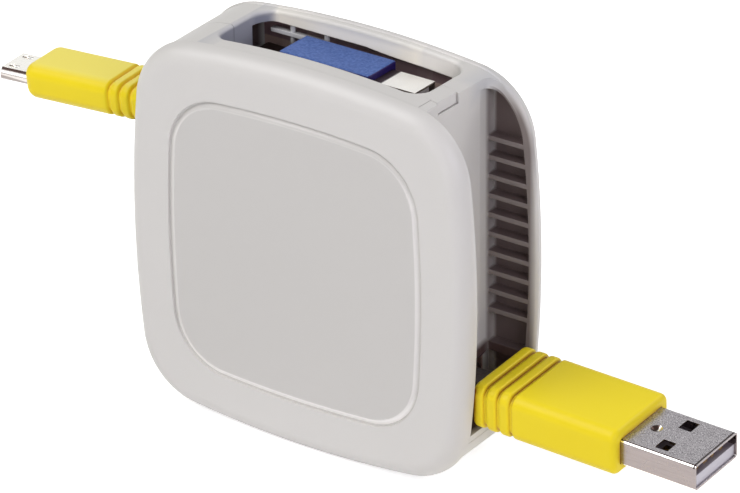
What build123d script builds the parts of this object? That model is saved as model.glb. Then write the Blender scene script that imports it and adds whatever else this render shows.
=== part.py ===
from build123d import *
import math
import os

# Retractable charging cable: a spring wound flat cable in a square case with a plug at each end.
# Millimetres. X runs along the front face to the right, Y from the front face to the back, Z up.
# The origin is the middle of the flat that the case stands on.

# Case: a square with arched sides, two domed flanges and a neck between them
CASE_HALF = 33.2
CASE_DEPTH = 24.0
SIDE_RADIUS = 190.0
CORNER_RADIUS = 12.0
DOME_DEPTH = 3.1
DOME_RADIUS = 3.0
WALL = 1.5
NECK_INSET = 0.25
REAR_SHIFT = -0.75
BASE_FLAT = 0.06
FOOT_HALF = 6.0
FOOT_THICKNESS = 0.9
SEAM = 0.1

# Groove round the front panel
PANEL_HALF = 24.75
PANEL_SIDE_RADIUS = 206.0
PANEL_CORNER_RADIUS = 10.45
GROOVE_WIDTH = 1.1
GROOVE_FLOOR = 0.3
GROOVE_DEPTH = 0.45
PANEL_EDGE_ROUND = 1.3

# Side channels, the right one open at its top and the left one open at its bottom
CHANNEL_DEPTH = 9.75
CHANNEL_ROUND = 2.5
SIDE_WALL = 1.4
CHANNEL_END = 10.6
RIM_WALL = 1.2
RIM_WIDTH = 1.8
RIM_ROUND = 0.6
TROUGH_START = 5.9
TROUGH_WALL = 1.0
TROUGH_ANGLE = 10.0
RIB_COUNT = 10
RIB_PITCH = 3.33
RIB_THICKNESS = 0.8
RIB_FIRST = 20.2
LEDGE_TOP = -15.5
LEDGE_THICKNESS = 1.5
LUG_WIDTH = 5.2
LUG_DROP = 3.65
LUG_STEP = 0.3

# Compartment at the top, with its window
WINDOW_LEFT_MARGIN = 13.3
WINDOW_RIGHT_MARGIN = 13.3
WINDOW_FRONT_MARGIN = 3.3
WINDOW_BACK_MARGIN = 0.9
WINDOW_CORNER = 3.2
WINDOW_LIP = 0.6
TRAY_WALL = 1.2
TRAY_CLEARANCE = 0.2
SKIRT_DROP = 2.95
PAD_PROUD = 0.7
PAD_CURVE = ((-7.5, 1.35), (0.5, 3.0), (8.0, 3.55), (17.0, 4.1))
RAIL_DEPTH = 1.1
RAIL_HEIGHT = 0.65
RAIL_DROP = 4.3
RAIL_LEFT = -18.7
POST_RADIUS = 0.45
POST_PLACES = (-14.7, -8.0)

# Spare adaptor in the compartment
ADAPTOR_LENGTH = 17.5
ADAPTOR_WIDTH = 7.4
ADAPTOR_HEIGHT = 5.0
ADAPTOR_LEFT = -10.9
ADAPTOR_DROP = 3.34
ADAPTOR_BACK_GAP = 0.1
ADAPTOR_ROUND = 0.35
TIP_LENGTH = 8.1
TIP_WIDTH = 5.5
TIP_HEIGHT = 2.4
TIP_RISE = 2.6
TIP_SUNK = 4.0
SOCKET_WIDTH = 6.0
SOCKET_HEIGHT = 2.4
SOCKET_DEPTH = 5.0
SHEET = 0.3
BLADE_WIDTH = 3.7
TIP_BLADE_HEIGHT = 0.8
SOCKET_BLADE_HEIGHT = 0.6

# Reel
AXLE_RADIUS = 2.5
RUNNING_GAP = 0.05
HUB_RADIUS = 9.0
FLANGE_CLEARANCE = 1.05
FLANGE_LIP = 2.7
FLANGE_THICKNESS = 1.0
CABLE_WIDTH = 5.0
CABLE_THICKNESS = 1.0
CABLE_SIDE_GAP = 0.1
DRUM_RADIUS = 14.2
DRUM_WALL = 1.2
DRUM_DEPTH = 5.4
CAP_THICKNESS = 0.8
CAP_BORE = 3.4
SPRING_THICKNESS = 0.25
SPRING_WIDTH = 4.6
SPRING_TURNS = 6
END_GAP = 0.2
AXLE_BOSS_RADIUS = 4.5
TRACK_INNER = 10.4
TRACK_OUTER = 16.2
TRACK_WALL = 1.0
TRACK_HEIGHT = 1.4
BALL_RADIUS = 1.5
BALL_GAP = 0.1
BALL_BAR_WIDTH = 5.0

# Screws
SCREW_SIDE_MARGIN = 15.4
SCREW_TOP_MARGIN = 13.1
SCREW_BOTTOM_MARGIN = 9.7
SCREW_RADIUS = 1.0
SCREW_REACH = 5.0
HEAD_RADIUS = 1.8
HEAD_HEIGHT = 1.4
HEAD_SEAT = 3.0
HEAD_GAP = 0.2
BOSS_RADIUS = 2.1
CROSS_WIDTH = 0.5
CROSS_REACH = 1.08
CROSS_DEPTH = 0.7

# Large plug: origin at the middle of its shell, where the shell leaves the overmould
USB_OUT = 25.1
USB_Y = -0.65
USB_FALL = 17.44
USB_DROOP = 1.5
USB_ROLL = 3.9
USB_BODY_LENGTH = 26.6
USB_BODY_WIDTH = 15.6
USB_BODY_HEIGHT = 8.0
USB_BODY_ROUND = 1.9
USB_END_ROUND = 0.9
USB_SHELL_LENGTH = 13.65
USB_SHELL_WIDTH = 12.0
USB_SHELL_HEIGHT = 4.5
USB_SHELL_ROUND = 0.6
USB_SHELL_RISE = -0.1
USB_SHELL_SUNK = 8.0
USB_HOLE_ALONG = 2.35
USB_HOLE_ACROSS = 2.7
USB_HOLE_PLACE = 6.57
USB_HOLE_SIDE = 3.3
USB_DENT_PLACE = 2.8
USB_DENT_RADIUS = 1.23
USB_DENT_DEPTH = 0.45
USB_TONGUE_HEIGHT = 1.95
USB_TONGUE_BACK = 0.4
USB_CONTACT_SIDES = (-3.5, -1.0, 1.0, 3.5)
USB_CONTACT_WIDTH = 1.0
USB_CONTACT_LENGTH = 7.4
USB_CONTACT_THICKNESS = 0.2
RELIEF_FIRST = 2.4
RELIEF_PITCH = 2.4
RELIEF_COUNT = 3
RELIEF_WIDTH = 0.8
RELIEF_DEPTH = 0.65

# Small plug: same kind of origin
MICRO_OUT = 26.95
MICRO_Y = 0.0
MICRO_LIFT = 13.69
MICRO_DROOP = 3.6
MICRO_ROLL = 4.0
MICRO_BODY_LENGTH = 27.2
MICRO_BODY_WIDTH = 10.0
MICRO_BODY_HEIGHT = 6.3
MICRO_BODY_RISE = 0.12
MICRO_BODY_ROUND = 2.2
MICRO_FRONT_ROUND = 2.1
MICRO_RELIEF_FIRST = 4.6
MICRO_RELIEF_PITCH = 2.25
MICRO_SHELL_LENGTH = 5.85
MICRO_SHELL_WIDTH = 6.85
MICRO_SHELL_TOP = 5.5
MICRO_SHELL_HEIGHT = 1.85
MICRO_SHELL_SUNK = 6.0
MICRO_SHEET = 0.25
MICRO_SLOT_LENGTH = 2.0
MICRO_SLOT_WIDTH = 0.7
MICRO_SLOT_PLACE = 4.05
MICRO_SLOT_SIDE = 1.75
MICRO_TONGUE_WIDTH = 3.9
MICRO_TONGUE_HEIGHT = 0.6
MICRO_CONTACT_COUNT = 5
MICRO_CONTACT_PITCH = 0.65
MICRO_CONTACT_WIDTH = 0.35
MICRO_CONTACT_LENGTH = 2.6
MICRO_CONTACT_THICKNESS = 0.12
MICRO_LATCH_RISE = 0.25

# Worked out from the sizes above
AXIS_Z = CASE_HALF - BASE_FLAT
CREASE = CASE_DEPTH / 2 - DOME_DEPTH
PLATE = CASE_DEPTH / 2 - WALL
TROUGH_BACK = CASE_DEPTH / 2 - TROUGH_WALL
CHANNEL_FLOOR = CASE_HALF - CHANNEL_DEPTH
INNER_X = CHANNEL_FLOOR - SIDE_WALL
SHELF_Z = CHANNEL_END - SIDE_WALL
TOP_Z = AXIS_Z + CASE_HALF
INNER_INSET = NECK_INSET + WALL - REAR_SHIFT / 2
INNER_TOP = TOP_Z - INNER_INSET
FAR = 2 * CASE_HALF
SLANT = math.tan(math.radians(TROUGH_ANGLE))
WINDOW_LEFT = WINDOW_LEFT_MARGIN - CASE_HALF
WINDOW_RIGHT = CASE_HALF - WINDOW_RIGHT_MARGIN
WINDOW_FRONT = WINDOW_FRONT_MARGIN - CREASE
WINDOW_BACK = CREASE - WINDOW_BACK_MARGIN
FLANGE_RADIUS = INNER_X - FLANGE_CLEARANCE
COIL_RADIUS = FLANGE_RADIUS - FLANGE_LIP
CABLE_SIDE = CABLE_WIDTH / 2
FLANGE_FACE = CABLE_SIDE + CABLE_SIDE_GAP
FLANGE_OUT = FLANGE_FACE + FLANGE_THICKNESS
DRUM_END = FLANGE_OUT + DRUM_DEPTH
CAP_END = DRUM_END + CAP_THICKNESS
CABLE_DROP = COIL_RADIUS + RUNNING_GAP + CABLE_THICKNESS / 2
BALL_Y = -FLANGE_OUT - BALL_GAP - BALL_RADIUS
BALL_Z = AXIS_Z + (TRACK_INNER + TRACK_OUTER) / 2
ADAPTOR_TOP = TOP_Z - ADAPTOR_DROP
ADAPTOR_BASE = ADAPTOR_TOP - ADAPTOR_HEIGHT
ADAPTOR_BACK = WINDOW_BACK - PAD_PROUD - ADAPTOR_BACK_GAP
ADAPTOR_MIDDLE = ADAPTOR_BACK - ADAPTOR_WIDTH / 2
TIP_MIDDLE_Z = ADAPTOR_BASE + TIP_RISE


def block(x0, x1, y0, y1, z0, z1):
    """Box between two corners."""
    middle = Pos((x0 + x1) / 2, (y0 + y1) / 2, (z0 + z1) / 2)
    return middle * Box(x1 - x0, y1 - y0, z1 - z0)


def upright(y):
    """Plane across the case at depth y, drawn with X to the right and Z up from the reel's axis."""
    return Plane(origin=(0, y, AXIS_Z), x_dir=(1, 0, 0), z_dir=(0, -1, 0))


def deepen(face, depth):
    """Solid made from a face by going back along Y."""
    return extrude(face, amount=depth, dir=(0, 1, 0))


def rod(radius, y0, y1, x=0.0, z=AXIS_Z):
    """Round bar along Y."""
    circle = Plane(origin=(x, y0, z), x_dir=(1, 0, 0), z_dir=(0, -1, 0)) * Circle(radius)
    return deepen(circle, y1 - y0)


def rod_up(radius, x, y, z0, z1):
    """Round bar along Z."""
    return extrude(Pos(x, y, z0) * Circle(radius), amount=z1 - z0)


def arched_square(half, side_radius, corner_radius):
    """Square with arched sides and round corners, all tangent to one another."""
    side_centre = half - side_radius
    reach = side_radius - corner_radius
    corner_centre = (side_centre + math.sqrt(2 * reach**2 - side_centre**2)) / 2
    turn = math.atan2(corner_centre, corner_centre - side_centre)
    end = (side_centre + side_radius * math.cos(turn), side_radius * math.sin(turn))
    bulge = corner_centre + corner_radius / math.sqrt(2)
    edges = []
    for quarter in range(4):
        spin = Rot(0, 0, 90 * quarter)
        edges.append(spin * ThreePointArc((end[0], -end[1]), (half, 0), end))
        edges.append(spin * ThreePointArc(end, (bulge, bulge), (end[1], end[0])))
    return make_face(edges)


def case_prism(inset, y0, y1):
    """Slice of the case's outline, drawn in by an inset."""
    face = arched_square(CASE_HALF - inset, SIDE_RADIUS - inset, CORNER_RADIUS - inset)
    return deepen(upright(y0) * face, y1 - y0)


def half_turned(shape):
    """The same shape on the other side of the reel's axis."""
    return shape.rotate(Axis((0, 0, AXIS_Z), (0, 1, 0)), 180)


def on_both_sides(shape):
    """A right hand feature and its half turned copy."""
    return shape + half_turned(shape)


def standing(points, z0, z1):
    """Upright prism over a plan outline."""
    return extrude(Pos(0, 0, z0) * make_face(Polyline(*points, close=True)), amount=z1 - z0)


def neck():
    """Slice between the two flanges, leaning from the front one to the rear one."""
    face = arched_square(CASE_HALF - NECK_INSET, SIDE_RADIUS - NECK_INSET, CORNER_RADIUS - NECK_INSET)
    return loft([upright(-CREASE) * face, Pos(REAR_SHIFT, 0, 0) * upright(CREASE) * face], ruled=True)


def dome(y_edge, y_face):
    """Flange with a rounded outer edge, from the crease to the outer face."""
    flange = case_prism(0, min(y_edge, y_face), max(y_edge, y_face))
    rounded = flange.edges().group_by(Axis.Y)[0 if y_face < y_edge else -1]
    return fillet(rounded, DOME_RADIUS)


def channel_void():
    """Open space of the right channel, back to the rear flange, with a round inner corner."""
    plan = [
        (CHANNEL_FLOOR, -CREASE),
        (CHANNEL_FLOOR, CREASE),
        (FAR, CREASE),
        (FAR, -CREASE),
    ]
    void = standing(plan, CHANNEL_END, FAR + CASE_HALF)
    corner = void.edges().filter_by(Axis.Z).filter_by_position(Axis.X, INNER_X, CHANNEL_FLOOR + SEAM)
    return fillet(corner.filter_by_position(Axis.Y, 0, FAR), CHANNEL_ROUND)


def rim_sliver():
    """What the rear flange loses where its front edge is rounded, down to the neck or the open channels."""
    plain = case_prism(0, CREASE, CASE_DEPTH / 2)
    rounded = fillet(plain.edges().group_by(Axis.Y)[0], RIM_ROUND)
    along = block(CHANNEL_FLOOR + CHANNEL_ROUND, FAR, 0, FAR, CHANNEL_END, FAR + CASE_HALF)
    ring = Pos(REAR_SHIFT, 0, 0) * (plain - rounded)
    above_neck = ring - Pos(REAR_SHIFT, 0, 0) * case_prism(NECK_INSET, CREASE, CASE_DEPTH / 2)
    return above_neck + (ring & on_both_sides(along))


def trough_voids():
    """Hollows behind both channels, less the ribs and the ledge that cross each."""
    plan = [
        (CHANNEL_FLOOR, TROUGH_START),
        (CHANNEL_FLOOR - (TROUGH_BACK - TROUGH_START) * SLANT, TROUGH_BACK),
        (FAR, TROUGH_BACK),
        (FAR, TROUGH_START),
    ]
    hollow = standing(plan, CHANNEL_END, FAR)
    for rib in range(RIB_COUNT):
        z = AXIS_Z + RIB_FIRST - rib * RIB_PITCH
        hollow -= block(0, FAR, CREASE, TROUGH_BACK, z - RIB_THICKNESS / 2, z + RIB_THICKNESS / 2)
    ledge = AXIS_Z + LEDGE_TOP
    hollow -= block(0, FAR, CREASE, TROUGH_BACK, ledge - LEDGE_THICKNESS, ledge)
    return on_both_sides(hollow) & (Pos(REAR_SHIFT, 0, 0) * case_prism(RIM_WIDTH, 0, TROUGH_BACK))


def interior_void():
    """Space inside both covers, kept clear of the side walls and the slanted trough walls."""
    plan = [
        (INNER_X, -CASE_DEPTH),
        (INNER_X, TROUGH_START),
        (INNER_X - (PLATE - TROUGH_START) * SLANT, PLATE),
        (FAR, PLATE),
        (FAR, -CASE_DEPTH),
    ]
    room = Pos(REAR_SHIFT / 2, 0, 0) * case_prism(INNER_INSET, -PLATE, PLATE)
    return room - on_both_sides(standing(plan, SHELF_Z, FAR))


def window_plan(grow, z0, z1):
    """Rounded block over the window's plan, grown all round."""
    length = WINDOW_RIGHT - WINDOW_LEFT + 2 * grow
    width = WINDOW_BACK - WINDOW_FRONT + 2 * grow
    middle = Pos((WINDOW_LEFT + WINDOW_RIGHT) / 2, (WINDOW_FRONT + WINDOW_BACK) / 2, z0)
    return extrude(middle * RectangleRounded(length, width, WINDOW_CORNER + grow), amount=z1 - z0)


def collar():
    """Wall that hangs below the window's edge: deep at the ends and the front, shallow at the back."""
    foot = ADAPTOR_BASE + TRAY_CLEARANCE
    ring = window_plan(TRAY_WALL, foot, TOP_Z) - window_plan(0, foot, TOP_Z)
    skirt_foot = TOP_Z - SKIRT_DROP
    ring -= block(-FAR, WINDOW_RIGHT - WINDOW_CORNER, WINDOW_BACK - WINDOW_CORNER, FAR, 0, skirt_foot)
    points = [(x, CASE_HALF - drop) for x, drop in PAD_CURVE]
    outline = [Spline(*points), *Polyline(
        points[-1], (points[-1][0], CASE_HALF), (points[0][0], CASE_HALF), points[0]
    ).edges()]
    pad = deepen(upright(WINDOW_BACK - PAD_PROUD) * make_face(outline), PAD_PROUD + TRAY_WALL / 4)
    return (ring + pad) & case_prism(NECK_INSET + WALL / 2, -PLATE, PLATE)


def round_window(hull):
    """Round the window's upper edge."""
    lip = []
    for edge in hull.edges():
        box = edge.bounding_box()
        along = box.min.X > WINDOW_LEFT - SEAM and box.max.X < WINDOW_RIGHT + SEAM
        across = box.min.Y > WINDOW_FRONT - SEAM and box.max.Y < WINDOW_BACK + SEAM
        if along and across and box.min.Z > INNER_TOP - WINDOW_LIP:
            lip.append(edge)
    return fillet(lip, WINDOW_LIP)


def case_shell():
    """Both covers in one, hollow, before they are parted."""
    hull = neck() + dome(-CREASE, -CASE_DEPTH / 2)
    hull += Pos(REAR_SHIFT, 0, 0) * dome(CREASE, CASE_DEPTH / 2)
    hull -= on_both_sides(channel_void())
    hull -= rim_sliver()
    hull -= trough_voids()
    hull -= interior_void()
    hull += collar()
    hull -= window_plan(0, TOP_Z - 4 * WALL, TOP_Z + WALL)
    hull = round_window(hull)
    hull -= block(-FAR, FAR, -CASE_DEPTH, CASE_DEPTH, -CASE_HALF, 0)
    inside = INNER_X - SIDE_WALL
    foot = CHANNEL_END + RIM_WALL
    ledge = AXIS_Z + LEDGE_TOP
    pocket = block(
        inside, CHANNEL_FLOOR + WALL, -USB_BODY_WIDTH / 2 + WALL, PLATE - WALL, foot, ledge - LEDGE_THICKNESS
    )
    slot_half = CABLE_SIDE + CABLE_THICKNESS / 2
    slot = block(inside, CHANNEL_FLOOR + WALL, -slot_half, slot_half, foot, ledge + LEDGE_THICKNESS)
    return hull - on_both_sides(pocket + slot)


def wall_zone(clearance):
    """Zone of the right side wall, which belongs to the rear cover all the way to the front flange."""
    return block(INNER_X - clearance, FAR, -CREASE, SEAM, SHELF_Z - clearance, FAR)


def lug(reach, clearance):
    """Snap lug of the front cover, or its pocket, on the corner over the right side wall."""
    y0 = -SEAM / 2 - LUG_WIDTH - clearance
    y1 = -SEAM / 2 + clearance
    z0 = TOP_Z - LUG_DROP - clearance
    corner = block(INNER_X - WALL, reach, y0, y1, z0, TOP_Z)
    return case_prism(NECK_INSET, y0, y1) & corner


def foot(clearance):
    """Flat tongue of the rear cover that the case stands on, under the front cover's neck."""
    half = FOOT_HALF + clearance
    front = -CREASE + SEAM - clearance
    return block(-half, half, front, CREASE, 0, FOOT_THICKNESS + clearance)


def screw_places():
    """Plan positions of the four screws, seen from the front."""
    side = CASE_HALF - SCREW_SIDE_MARGIN
    top = TOP_Z - SCREW_TOP_MARGIN
    bottom = AXIS_Z - CASE_HALF + SCREW_BOTTOM_MARGIN
    return [(side, top), (-side, top), (side, bottom), (-side, bottom)]


def panel_outline(inset, y):
    """Outline of the front panel, drawn in by an inset."""
    return upright(y) * arched_square(
        PANEL_HALF - inset, PANEL_SIDE_RADIUS - inset, PANEL_CORNER_RADIUS - inset
    )


def front_panel():
    """Panel inside the groove, with a sloping edge that turns softly into its face."""
    front = -CASE_DEPTH / 2
    panel = loft([panel_outline(GROOVE_WIDTH, front), panel_outline(GROOVE_FLOOR, front + GROOVE_DEPTH)])
    rim = panel.edges().filter_by_position(Axis.Y, front - SEAM, front + SEAM)
    return fillet(rim, PANEL_EDGE_ROUND)


def front_cover(shell):
    """Front half of the case."""
    cover = shell & block(-FAR, FAR, -CASE_DEPTH, -SEAM / 2, -CASE_HALF, FAR + CASE_HALF)
    cover -= on_both_sides(wall_zone(SEAM))
    cover += on_both_sides(lug(CHANNEL_FLOOR - LUG_STEP, 0))
    cover -= foot(SEAM)
    front = -CASE_DEPTH / 2
    cover -= deepen(panel_outline(0, front), GROOVE_DEPTH) - front_panel()
    cover += rod(AXLE_BOSS_RADIUS, -PLATE, -FLANGE_OUT - END_GAP) - rod(AXLE_RADIUS, -PLATE, 0)
    bar = block(
        -BALL_BAR_WIDTH / 2, BALL_BAR_WIDTH / 2, -PLATE, BALL_Y,
        BALL_Z - 2 * BALL_RADIUS, BALL_Z + 2 * BALL_RADIUS,
    )
    cover += bar - Pos(0, BALL_Y, BALL_Z) * Sphere(BALL_RADIUS)
    for x, z in screw_places():
        cover += rod(BOSS_RADIUS, -PLATE, -SEAM / 2, x, z)
        cover -= rod(SCREW_RADIUS, -SCREW_REACH, 0, x, z)
    return cover


def rear_cover(shell):
    """Rear half of the case, with both side walls."""
    cover = shell & block(-FAR, FAR, SEAM / 2, CASE_DEPTH, -CASE_HALF, FAR + CASE_HALF)
    cover += on_both_sides(shell & wall_zone(0))
    cover -= on_both_sides(lug(FAR, SEAM))
    cover += foot(0)
    cover += rod(AXLE_BOSS_RADIUS, CAP_END + END_GAP, PLATE) - rod(AXLE_RADIUS, 0, PLATE)
    for x, z in screw_places():
        cover += rod(BOSS_RADIUS + RIM_WALL, HEAD_SEAT, PLATE, x, z)
        cover += rod(BOSS_RADIUS, SEAM / 2, PLATE, x, z)
        cover -= rod(SCREW_RADIUS + SEAM, 0, PLATE, x, z)
        cover -= rod(HEAD_RADIUS + HEAD_GAP, HEAD_SEAT, CASE_DEPTH, x, z)
    return cover


def adaptor_tray():
    """Floor of the compartment between the covers, with the rail along its back."""
    left = WINDOW_LEFT - TRAY_WALL
    right = INNER_X - (PLATE - TROUGH_START) * SLANT - TRAY_CLEARANCE
    tray = block(left, right, -PLATE, PLATE, ADAPTOR_BASE - TRAY_WALL, ADAPTOR_BASE)
    back = WINDOW_BACK + TRAY_WALL
    rail_top = TOP_Z - RAIL_DROP
    tray += block(RAIL_LEFT, POST_PLACES[-1], back - RAIL_DEPTH, back, rail_top - RAIL_HEIGHT, rail_top)
    for x in POST_PLACES:
        tray += rod_up(POST_RADIUS, x, back - POST_RADIUS, ADAPTOR_BASE, TOP_Z - SKIRT_DROP - TRAY_CLEARANCE)
    return tray


def adaptor_pieces():
    """Spare adaptor: body with a metal tip on its right and a socket on its left."""
    right = ADAPTOR_LEFT + ADAPTOR_LENGTH
    body = block(ADAPTOR_LEFT, right, ADAPTOR_BACK - ADAPTOR_WIDTH, ADAPTOR_BACK, ADAPTOR_BASE, ADAPTOR_TOP)
    body = fillet(body.edges(), ADAPTOR_ROUND)
    tip_outer = centred_bar(right - TIP_SUNK, right + TIP_LENGTH, TIP_WIDTH, TIP_HEIGHT)
    tip_clear = (TIP_WIDTH - 2 * SHEET, TIP_HEIGHT - 2 * SHEET)
    tip_inner = centred_bar(right - TIP_SUNK, right + TIP_LENGTH, *tip_clear)
    socket_end = ADAPTOR_LEFT + SOCKET_DEPTH
    socket_clear = (SOCKET_WIDTH - 2 * SHEET, SOCKET_HEIGHT - 2 * SHEET)
    socket_outer = centred_bar(ADAPTOR_LEFT, socket_end, SOCKET_WIDTH, SOCKET_HEIGHT)
    socket_inner = centred_bar(ADAPTOR_LEFT, socket_end, *socket_clear)
    tip_fill = centred_bar(right - TIP_SUNK, right, *tip_clear)
    blade_end = right + TIP_LENGTH - 2 * SHEET
    tip_blade = centred_bar(right, blade_end, BLADE_WIDTH, TIP_BLADE_HEIGHT)
    socket_blade = centred_bar(ADAPTOR_LEFT + 2 * SHEET, socket_end, BLADE_WIDTH, SOCKET_BLADE_HEIGHT)
    return {
        "adaptor_body": body - tip_outer - socket_outer,
        "adaptor_shell": tip_outer - tip_inner,
        "adaptor_tongue": tip_fill + tip_blade,
        "adaptor_socket": socket_outer - socket_inner,
        "adaptor_socket_tongue": socket_blade,
    }


def centred_bar(x0, x1, width, height):
    """Bar along X through the middle of the adaptor."""
    return block(
        x0, x1, ADAPTOR_MIDDLE - width / 2, ADAPTOR_MIDDLE + width / 2,
        TIP_MIDDLE_Z - height / 2, TIP_MIDDLE_Z + height / 2,
    )


def spool():
    """Hub with two flanges, the spring drum at the back and the lock track at the front."""
    reel = rod(HUB_RADIUS, -FLANGE_OUT, FLANGE_OUT)
    reel += rod(FLANGE_RADIUS, -FLANGE_OUT, -FLANGE_FACE) + rod(FLANGE_RADIUS, FLANGE_FACE, FLANGE_OUT)
    reel += rod(DRUM_RADIUS, FLANGE_OUT, DRUM_END) - rod(DRUM_RADIUS - DRUM_WALL, FLANGE_OUT, DRUM_END)
    for radius in (TRACK_INNER, TRACK_OUTER):
        ring = rod(radius + TRACK_WALL / 2, -FLANGE_OUT - TRACK_HEIGHT, -FLANGE_OUT)
        reel += ring - rod(radius - TRACK_WALL / 2, -FLANGE_OUT - TRACK_HEIGHT, -FLANGE_OUT)
    return reel - rod(AXLE_RADIUS + RUNNING_GAP, -CASE_DEPTH, CASE_DEPTH)


def spring():
    """Flat spiral of half turns between the axle and the drum."""
    start = AXLE_RADIUS + RUNNING_GAP + SPRING_THICKNESS / 2
    finish = DRUM_RADIUS - DRUM_WALL - RUNNING_GAP - SPRING_THICKNESS / 2
    pitch = (finish - start) / SPRING_TURNS
    sides = {1: [], -1: []}
    ends = {1: [], -1: []}
    for half in range(2 * SPRING_TURNS):
        centre = 0 if half % 2 == 0 else pitch / 2
        way = 1 if half % 2 == 0 else -1
        for side in sides:
            radius = start + half * pitch / 2 + side * SPRING_THICKNESS / 2
            first = (centre + way * radius, 0)
            last = (centre - way * radius, 0)
            sides[side].append(ThreePointArc(first, (centre, way * radius), last))
            ends[side] += [first, last]
    caps = [Line(ends[1][0], ends[-1][0]), Line(ends[1][-1], ends[-1][-1])]
    strip = make_face(sides[1] + sides[-1] + caps)
    middle = (FLANGE_OUT + DRUM_END) / 2
    return deepen(upright(middle - SPRING_WIDTH / 2) * strip, SPRING_WIDTH)


def screw(x, z):
    """Pan head screw with a cross recess, driven from the back."""
    head_end = HEAD_SEAT + HEAD_HEIGHT
    piece = rod(SCREW_RADIUS, -SCREW_REACH, HEAD_SEAT, x, z) + rod(HEAD_RADIUS, HEAD_SEAT, head_end, x, z)
    thin = CROSS_WIDTH / 2
    floor = head_end - CROSS_DEPTH
    piece -= block(x - CROSS_REACH, x + CROSS_REACH, floor, head_end, z - thin, z + thin)
    return piece - block(x - thin, x + thin, floor, head_end, z - CROSS_REACH, z + CROSS_REACH)


def bar_along(x0, x1, width, height, rise=0.0):
    """Bar along a plug's axis."""
    return block(x0, x1, -width / 2, width / 2, rise - height / 2, rise + height / 2)


def overmould(length, width, height, rounding, front, rise, first, pitch):
    """Plug grip with rounded edges and strain relief grooves round its rear end."""
    grip = bar_along(-length, 0, width, height, rise)
    grip = fillet(grip.edges().filter_by(Axis.X), rounding)
    ends = grip.edges().group_by(Axis.X)
    grip = fillet(ends[-1], front)
    grip = fillet(grip.edges().group_by(Axis.X)[0], USB_END_ROUND)
    core = bar_along(-length, 0, width - 2 * RELIEF_DEPTH, height - 2 * RELIEF_DEPTH, rise)
    core = fillet(core.edges().filter_by(Axis.X), rounding - RELIEF_DEPTH)
    for number in range(RELIEF_COUNT):
        middle = -length + first + number * pitch
        ring = bar_along(middle - RELIEF_WIDTH / 2, middle + RELIEF_WIDTH / 2, 2 * width, 2 * height, rise)
        grip -= ring - core
    return grip


def usb_pieces():
    """Large plug in its own frame: X out of the case, Z up."""
    shell_back = -USB_SHELL_SUNK
    outer = bar_along(shell_back, USB_SHELL_LENGTH, USB_SHELL_WIDTH, USB_SHELL_HEIGHT, USB_SHELL_RISE)
    outer = fillet(outer.edges().filter_by(Axis.X), USB_SHELL_ROUND)
    inside = (USB_SHELL_WIDTH - 2 * SHEET, USB_SHELL_HEIGHT - 2 * SHEET)
    inner = bar_along(shell_back, USB_SHELL_LENGTH, *inside, USB_SHELL_RISE)
    inner = fillet(inner.edges().filter_by(Axis.X), USB_SHELL_ROUND - SHEET)
    shell = outer - inner
    for side in (-USB_HOLE_SIDE, USB_HOLE_SIDE):
        shell -= block(
            USB_HOLE_PLACE - USB_HOLE_ALONG / 2, USB_HOLE_PLACE + USB_HOLE_ALONG / 2,
            side - USB_HOLE_ACROSS / 2, side + USB_HOLE_ACROSS / 2, -USB_SHELL_HEIGHT, USB_SHELL_HEIGHT,
        )
    dent_rise = USB_SHELL_RISE + USB_SHELL_HEIGHT / 2 + USB_DENT_RADIUS - USB_DENT_DEPTH
    dent = Pos(USB_DENT_PLACE, 0, dent_rise)
    shell += (dent * Sphere(USB_DENT_RADIUS + SHEET)) & outer
    shell -= dent * Sphere(USB_DENT_RADIUS)
    body = overmould(
        USB_BODY_LENGTH, USB_BODY_WIDTH, USB_BODY_HEIGHT, USB_BODY_ROUND, USB_END_ROUND, 0,
        RELIEF_FIRST, RELIEF_PITCH,
    )
    floor = USB_SHELL_RISE - USB_SHELL_HEIGHT / 2 + SHEET
    blade_top = floor + USB_TONGUE_HEIGHT
    plug_in = inner & block(shell_back, -SHEET, -FAR, FAR, -FAR, FAR)
    blade = inner & block(-SHEET, USB_SHELL_LENGTH - USB_TONGUE_BACK, -FAR, FAR, -FAR, blade_top)
    pieces = {"usb_overmould": body - outer, "usb_shell": shell, "usb_tongue": plug_in + blade}
    contact_end = USB_SHELL_LENGTH - USB_TONGUE_BACK - USB_CONTACT_WIDTH
    for number, side in enumerate(USB_CONTACT_SIDES, start=1):
        pieces[f"usb_contact_{number}"] = block(
            contact_end - USB_CONTACT_LENGTH, contact_end, side - USB_CONTACT_WIDTH / 2,
            side + USB_CONTACT_WIDTH / 2, blade_top, blade_top + USB_CONTACT_THICKNESS,
        )
    return pieces


def micro_section(sheet):
    """Cross section of the small shell, wide at the bottom and chamfered at the top."""
    wide = MICRO_SHELL_WIDTH / 2 - sheet
    narrow = MICRO_SHELL_TOP / 2 - sheet
    half = MICRO_SHELL_HEIGHT / 2 - sheet
    corners = [(-wide, -half), (wide, -half), (wide, 0), (narrow, half), (-narrow, half), (-wide, 0)]
    return make_face(Polyline(*corners, close=True))


def micro_bar(sheet, x0, x1):
    """Bar with the small shell's section."""
    plane = Plane(origin=(x0, 0, 0), x_dir=(0, 1, 0), z_dir=(1, 0, 0))
    return extrude(plane * micro_section(sheet), amount=x1 - x0)


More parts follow.
